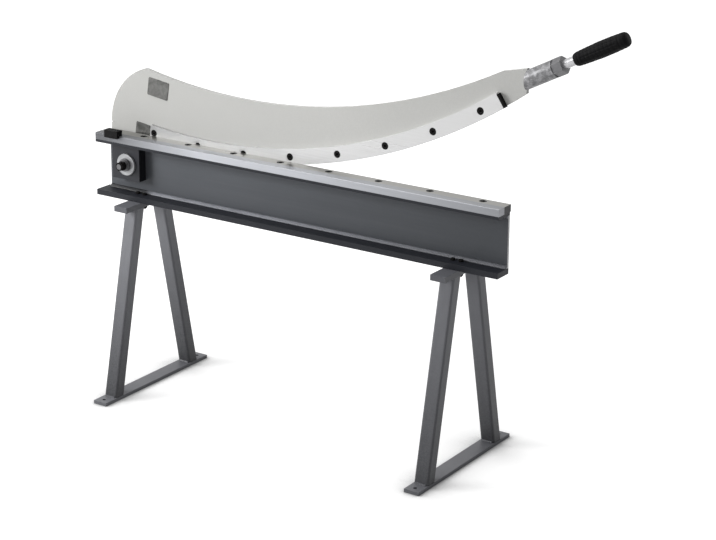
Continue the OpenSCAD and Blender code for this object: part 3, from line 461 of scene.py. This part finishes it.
# Modelled pieces
def new_piece(name, bm, look, body, slot, *nodes):
    """Makes an object of the mesh, rides it on a body and lets it stand for CAD nodes."""
    mesh = bpy.data.meshes.new(name)
    bmesh.ops.recalc_face_normals(bm, faces=bm.faces)
    bm.to_mesh(mesh)
    bm.free()
    mesh.polygons.foreach_set("use_smooth", [True] * len(mesh.polygons))
    obj = bpy.data.objects.new(name, mesh)
    bpy.context.scene.collection.objects.link(obj)
    mesh.materials.append(look)
    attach(obj, body)
    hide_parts(*nodes)


def skin_rings(bm, rings):
    """Joins closed rings of equal count one after another, and closes both ends."""
    for first, second in zip(rings, rings[1:]):
        count = len(first)
        for i in range(count):
            j = (i + 1) % count
            bm.faces.new((first[i], first[j], second[j], second[i]))
    bm.faces.new(rings[0])
    bm.faces.new(list(reversed(rings[-1])))


# A weld bead's ripples: length of one, its steps and their unevenness, and the bead's section
RIPPLE_PITCH, RIPPLE_STEPS, RIPPLE_STEEPNESS = 0.0042, 5, 0.6
UNEVEN_SHARE, UNEVEN_PER_METRE = 0.18, 71.0
RIPPLE_SHARE, BEAD_HOLLOW_SHARE, BEAD_TURNS = 0.1, 0.22, 6


def ripple(place):
    """Share from 0 to 1 along one scale of a weld bead, steep at its front."""
    phase = (place / RIPPLE_PITCH + UNEVEN_SHARE * math.sin(place * UNEVEN_PER_METRE)) % 1.0
    return math.sin(math.pi * phase ** RIPPLE_STEEPNESS)


def weld_bead(bm, start, end, out, up, leg):
    """Rippled fillet bead from start to end, in the corner between directions out and up."""
    run = end - start
    count = int(run.length / RIPPLE_PITCH * RIPPLE_STEPS)
    rings = []
    for i in range(count + 1):
        centre = start + run * (i / count)
        size = leg * (1 - RIPPLE_SHARE + RIPPLE_SHARE * ripple(run.length * i / count))
        ring = [bm.verts.new(centre)]
        for k in range(BEAD_TURNS + 1):
            angle = math.pi / 2 * k / BEAD_TURNS
            flat = 1.0 - BEAD_HOLLOW_SHARE * math.sin(2 * angle)
            ring.append(bm.verts.new(centre + (out * math.cos(angle) + up * math.sin(angle)) * size * flat))
        rings.append(ring)
    skin_rings(bm, rings)


def make_beam_welds():
    """Both beads of the beam. The upper one starts at the bearing block's edge."""
    low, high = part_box("beam_welds")
    outward, upward = Vector((0, -1, 0)), Vector((0, 0, 1))
    bm = bmesh.new()
    weld_bead(bm, Vector((low.x, high.y, low.z)), Vector((high.x, high.y, low.z)),
              outward, upward, WELD_LEG)
    weld_bead(bm, Vector((BLOCK_EDGE, high.y, high.z)), Vector((high.x, high.y, high.z)),
              outward, -upward, WELD_LEG)
    new_piece("rippled_beam_welds", bm, weld_grey, "frame", "frame_paint", "beam_welds")


def handle_axis():
    """Point on the handle's axis at the rod's start, and the axis and two directions across it."""
    low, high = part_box("handle_rod")
    along = Vector((math.cos(HANDLE_SLOPE), 0, math.sin(HANDLE_SLOPE)))
    length = (high.x - low.x - 2 * ROD_RADIUS * math.sin(HANDLE_SLOPE)) / math.cos(HANDLE_SLOPE)
    start = (low + high) / 2 - along * length / 2
    across = Vector((0, 1, 0))
    return start, along, across, along.cross(across)


def blend_between(points, place):
    """Value at a place along (place, value) points, eased between them."""
    for (a, low), (b, high) in zip(points, points[1:]):
        if place <= b:
            t = max(0.0, (place - a) / (b - a))
            return low + (high - low) * t * t * (3 - 2 * t)
    return points[-1][1]


# Hand grip: places as shares of its length, with shares of its radius and of the flutes' depth
GRIP_RADIUS_SHARES = [(0.0, 0.74), (0.03, 0.815), (0.075, 0.855), (0.09, 0.815), (0.105, 0.86),
                      (0.12, 0.885), (0.3, 0.935), (0.5, 0.985), (0.7, 0.975), (0.86, 0.935),
                      (0.885, 0.89), (0.91, 0.92), (0.97, 0.875), (1.0, 0.765)]
FLUTE_DEPTH_SHARES = [(0.0, 0.0), (0.11, 0.0), (0.17, 1.0), (0.80, 1.0), (0.86, 0.0), (1.0, 0.0)]
FLUTE_DEPTH, FLUTE_COUNT = 0.0011, 12
GROOVE_DEPTH, GROOVE_COUNT, GROOVED_SHARE = 0.0005, 9, 0.7
GRIP_STATIONS, GRIP_SEGMENTS = 150, 96


def grip_radius(share, angle):
    """Radius of the grip at a share of its length and an angle round it."""
    base = GRIP_RADIUS * blend_between(GRIP_RADIUS_SHARES, share)
    deep = blend_between(FLUTE_DEPTH_SHARES, share)
    flute = max(0.0, math.cos(FLUTE_COUNT * angle)) ** 2
    cross = 0.5 + 0.5 * math.cos(2 * math.pi * GROOVE_COUNT * share / GROOVED_SHARE)
    return base - deep * (FLUTE_DEPTH * flute + GROOVE_DEPTH * cross ** 4)


def make_hand_grip():
    """Moulded grip: flange at both ends, lengthwise flutes broken by shallow cross grooves."""
    start, along, side, top = handle_axis()
    begin = start + along * (GRIP_START - ROD_START)
    bm = bmesh.new()
    loops = []
    for i in range(GRIP_STATIONS + 1):
        share = i / GRIP_STATIONS
        centre = begin + along * (GRIP_LENGTH * share)
        loop = []
        for k in range(GRIP_SEGMENTS):
            angle = 2 * math.pi * k / GRIP_SEGMENTS
            away = side * math.cos(angle) + top * math.sin(angle)
            loop.append(bm.verts.new(centre + away * grip_radius(share, angle)))
        loops.append(loop)
    skin_rings(bm, loops)
    new_piece("moulded_hand_grip", bm, grip_black, "arm", "grip_rubber", "hand_grip")


WHITE = (1, 1, 1, 1)

# Sky: its strength in front and behind, and the direction that counts as behind
FRONT_LEVEL, BACK_LEVEL = 0.20, 0.95
BACK_SIDE = (-0.5, 0.86, 0.0)
FULL_BACK = 0.9

# Floor: greys that the lamps light, and its glow near the object, far from it and at its contacts, where a
# painted contact shadow darkens it
LIT_SHARE, BOUNCE_SHARE = 0.45, 0.6
NEAR_GLOW, FAR_GLOW = 0.80, 1.0
GLOW_START, GLOW_END = 0.6, 1.8
CONTACT_SHADOW_REACH, CONTACT_SHADOW_POWER, CONTACT_SHADOW_SAMPLES = 0.22, 4.0, 8
FLOOR_SIZE = 40.0


def background_rays(tree):
    """1 for rays that see the background as white: camera, mirror and glass rays."""
    path = add_node(tree, "LightPath").outputs
    total = path["Is Camera Ray"]
    for name in ("Is Glossy Ray", "Is Transmission Ray"):
        total = add_node(tree, "Math", {0: total, 1: path[name]}, operation="MAXIMUM").outputs[0]
    return total


def sky_level(tree):
    """Strength of the soft sky: low in front, where the lamps are, and higher behind the object."""
    place = add_node(tree, "TexCoord").outputs["Generated"]
    side = add_node(tree, "VectorMath", {0: place, 1: BACK_SIDE}, operation="DOT_PRODUCT")
    level = add_node(tree, "MapRange", {"Value": side.outputs["Value"], "From Min": 0.0,
                                        "From Max": FULL_BACK, "To Min": FRONT_LEVEL,
                                        "To Max": BACK_LEVEL})
    return level.outputs["Result"]


def make_world():
    """Soft sky that lights the object, with plain white where the background itself is seen."""
    world = bpy.data.worlds.new("studio")
    bpy.context.scene.world = world
    world.use_nodes = True
    tree = world.node_tree
    soft = tree.nodes["Background"]
    soft.inputs["Color"].default_value = WHITE
    tree.links.new(sky_level(tree), soft.inputs["Strength"])
    white = add_node(tree, "Background", {"Color": WHITE, "Strength": 1.0})
    choose = add_node(tree, "MixShader", {0: background_rays(tree), 1: soft.outputs[0],
                                          2: white.outputs[0]})
    tree.links.new(choose.outputs[0], tree.nodes["World Output"].inputs["Surface"])


def floor_glow_and_shadow(tree):
    """Glow of the floor: full far from the object, less near it, and least where it touches, under a
    painted contact shadow.
    """
    place = add_node(tree, "TexCoord").outputs["Object"]
    away = add_node(tree, "VectorMath", {0: place}, operation="LENGTH").outputs["Value"]
    level = add_node(tree, "MapRange", {"Value": away, "From Min": GLOW_START, "From Max": GLOW_END,
                                        "To Min": NEAR_GLOW, "To Max": FAR_GLOW})
    # Painted contact shadow from ambient occlusion
    contact_shadow = add_node(tree, "AmbientOcclusion", {"Distance": CONTACT_SHADOW_REACH}, samples=CONTACT_SHADOW_SAMPLES)
    deep = add_node(tree, "Math", {0: contact_shadow.outputs["AO"], 1: CONTACT_SHADOW_POWER}, operation="POWER")
    both = add_node(tree, "Math", {0: level.outputs["Result"], 1: deep.outputs[0]},
                    operation="MULTIPLY")
    return both.outputs[0]


def floor_material():
    """Pale floor that the camera sees as white where no shadow falls, cast or painted."""
    look = bpy.data.materials.new("pale_floor")
    look.use_nodes = True
    tree = look.node_tree
    tree.nodes.clear()
    bounce = add_node(tree, "BsdfDiffuse", {"Color": (BOUNCE_SHARE, BOUNCE_SHARE, BOUNCE_SHARE, 1)})
    lit = add_node(tree, "BsdfDiffuse", {"Color": (LIT_SHARE, LIT_SHARE, LIT_SHARE, 1)})
    glowing = add_node(tree, "Emission", {"Color": WHITE, "Strength": floor_glow_and_shadow(tree)})
    seen = add_node(tree, "AddShader", {0: lit.outputs[0], 1: glowing.outputs[0]})
    choose = add_node(tree, "MixShader", {0: background_rays(tree), 1: bounce.outputs[0],
                                          2: seen.outputs[0]})
    add_node(tree, "OutputMaterial", {"Surface": choose.outputs[0]})
    return look


def make_floor():
    bm = bmesh.new()
    bmesh.ops.create_grid(bm, x_segments=1, y_segments=1, size=FLOOR_SIZE)
    mesh = bpy.data.meshes.new("floor")
    bm.to_mesh(mesh)
    bm.free()
    floor = bpy.data.objects.new("floor", mesh)
    bpy.context.scene.collection.objects.link(floor)
    mesh.materials.append(floor_material())


# Lamps
def area_light(name, place, aim, size, power):
    data = bpy.data.lights.new(name, "AREA")
    data.shape = "DISK"
    data.size = size
    data.energy = power
    light = bpy.data.objects.new(name, data)
    light.location = place
    light.rotation_mode = "QUATERNION"
    light.rotation_quaternion = (Vector(aim) - Vector(place)).to_track_quat("-Z", "Y")
    bpy.context.scene.collection.objects.link(light)


def make_lights():
    """The key stands low at the left, so that it also lights the web under the table's edge."""
    area_light("key", place=(-2.6, -1.8, 1.6), aim=(-0.2, 0, 0.75), size=1.4, power=88)
    area_light("top", place=(-0.3, -0.5, 3.2), aim=(0, 0, 0.7), size=2.0, power=34)
    area_light("fill", place=(2.4, -3.6, 2.6), aim=(0, 0, 0.6), size=2.4, power=3)
    area_light("rim", place=(-3.2, -0.8, 1.4), aim=(0, 0, 0.5), size=1.2, power=6)


# Camera, fitted to the photograph's straight edges; centre and focal length in its pixels
IMAGE_W, IMAGE_H = 716, 540
CAM_SLOPE = math.radians(16.22)
CAM_TURN = math.radians(34.87)
CAM_PLACE = (3.1824, -4.4884, 2.3130)
CAM_FOCAL = 2077.0
CAM_CENTRE = (313.37, 180.0)
CAM_SENSOR = 36.0
CAM_CLIP = (0.05, 200.0)


def make_camera():
    data = bpy.data.cameras.new("camera")
    data.sensor_width = CAM_SENSOR
    data.lens = CAM_SENSOR * CAM_FOCAL / IMAGE_W
    data.shift_x = (IMAGE_W / 2 - CAM_CENTRE[0]) / IMAGE_W
    data.shift_y = (CAM_CENTRE[1] - IMAGE_H / 2) / IMAGE_W
    data.clip_start, data.clip_end = CAM_CLIP
    back = Vector((math.sin(CAM_TURN) * math.cos(CAM_SLOPE),
                   -math.cos(CAM_TURN) * math.cos(CAM_SLOPE), math.sin(CAM_SLOPE)))
    camera = bpy.data.objects.new("camera", data)
    camera.location = CAM_PLACE
    camera.rotation_mode = "QUATERNION"
    camera.rotation_quaternion = (-back).to_track_quat("-Z", "Y")
    bpy.context.scene.collection.objects.link(camera)
    bpy.context.scene.camera = camera


dress_cad_nodes()
make_beam_welds()
make_hand_grip()
make_world()
make_floor()
make_lights()
make_camera()
bpy.context.scene.view_settings.view_transform = "Standard"
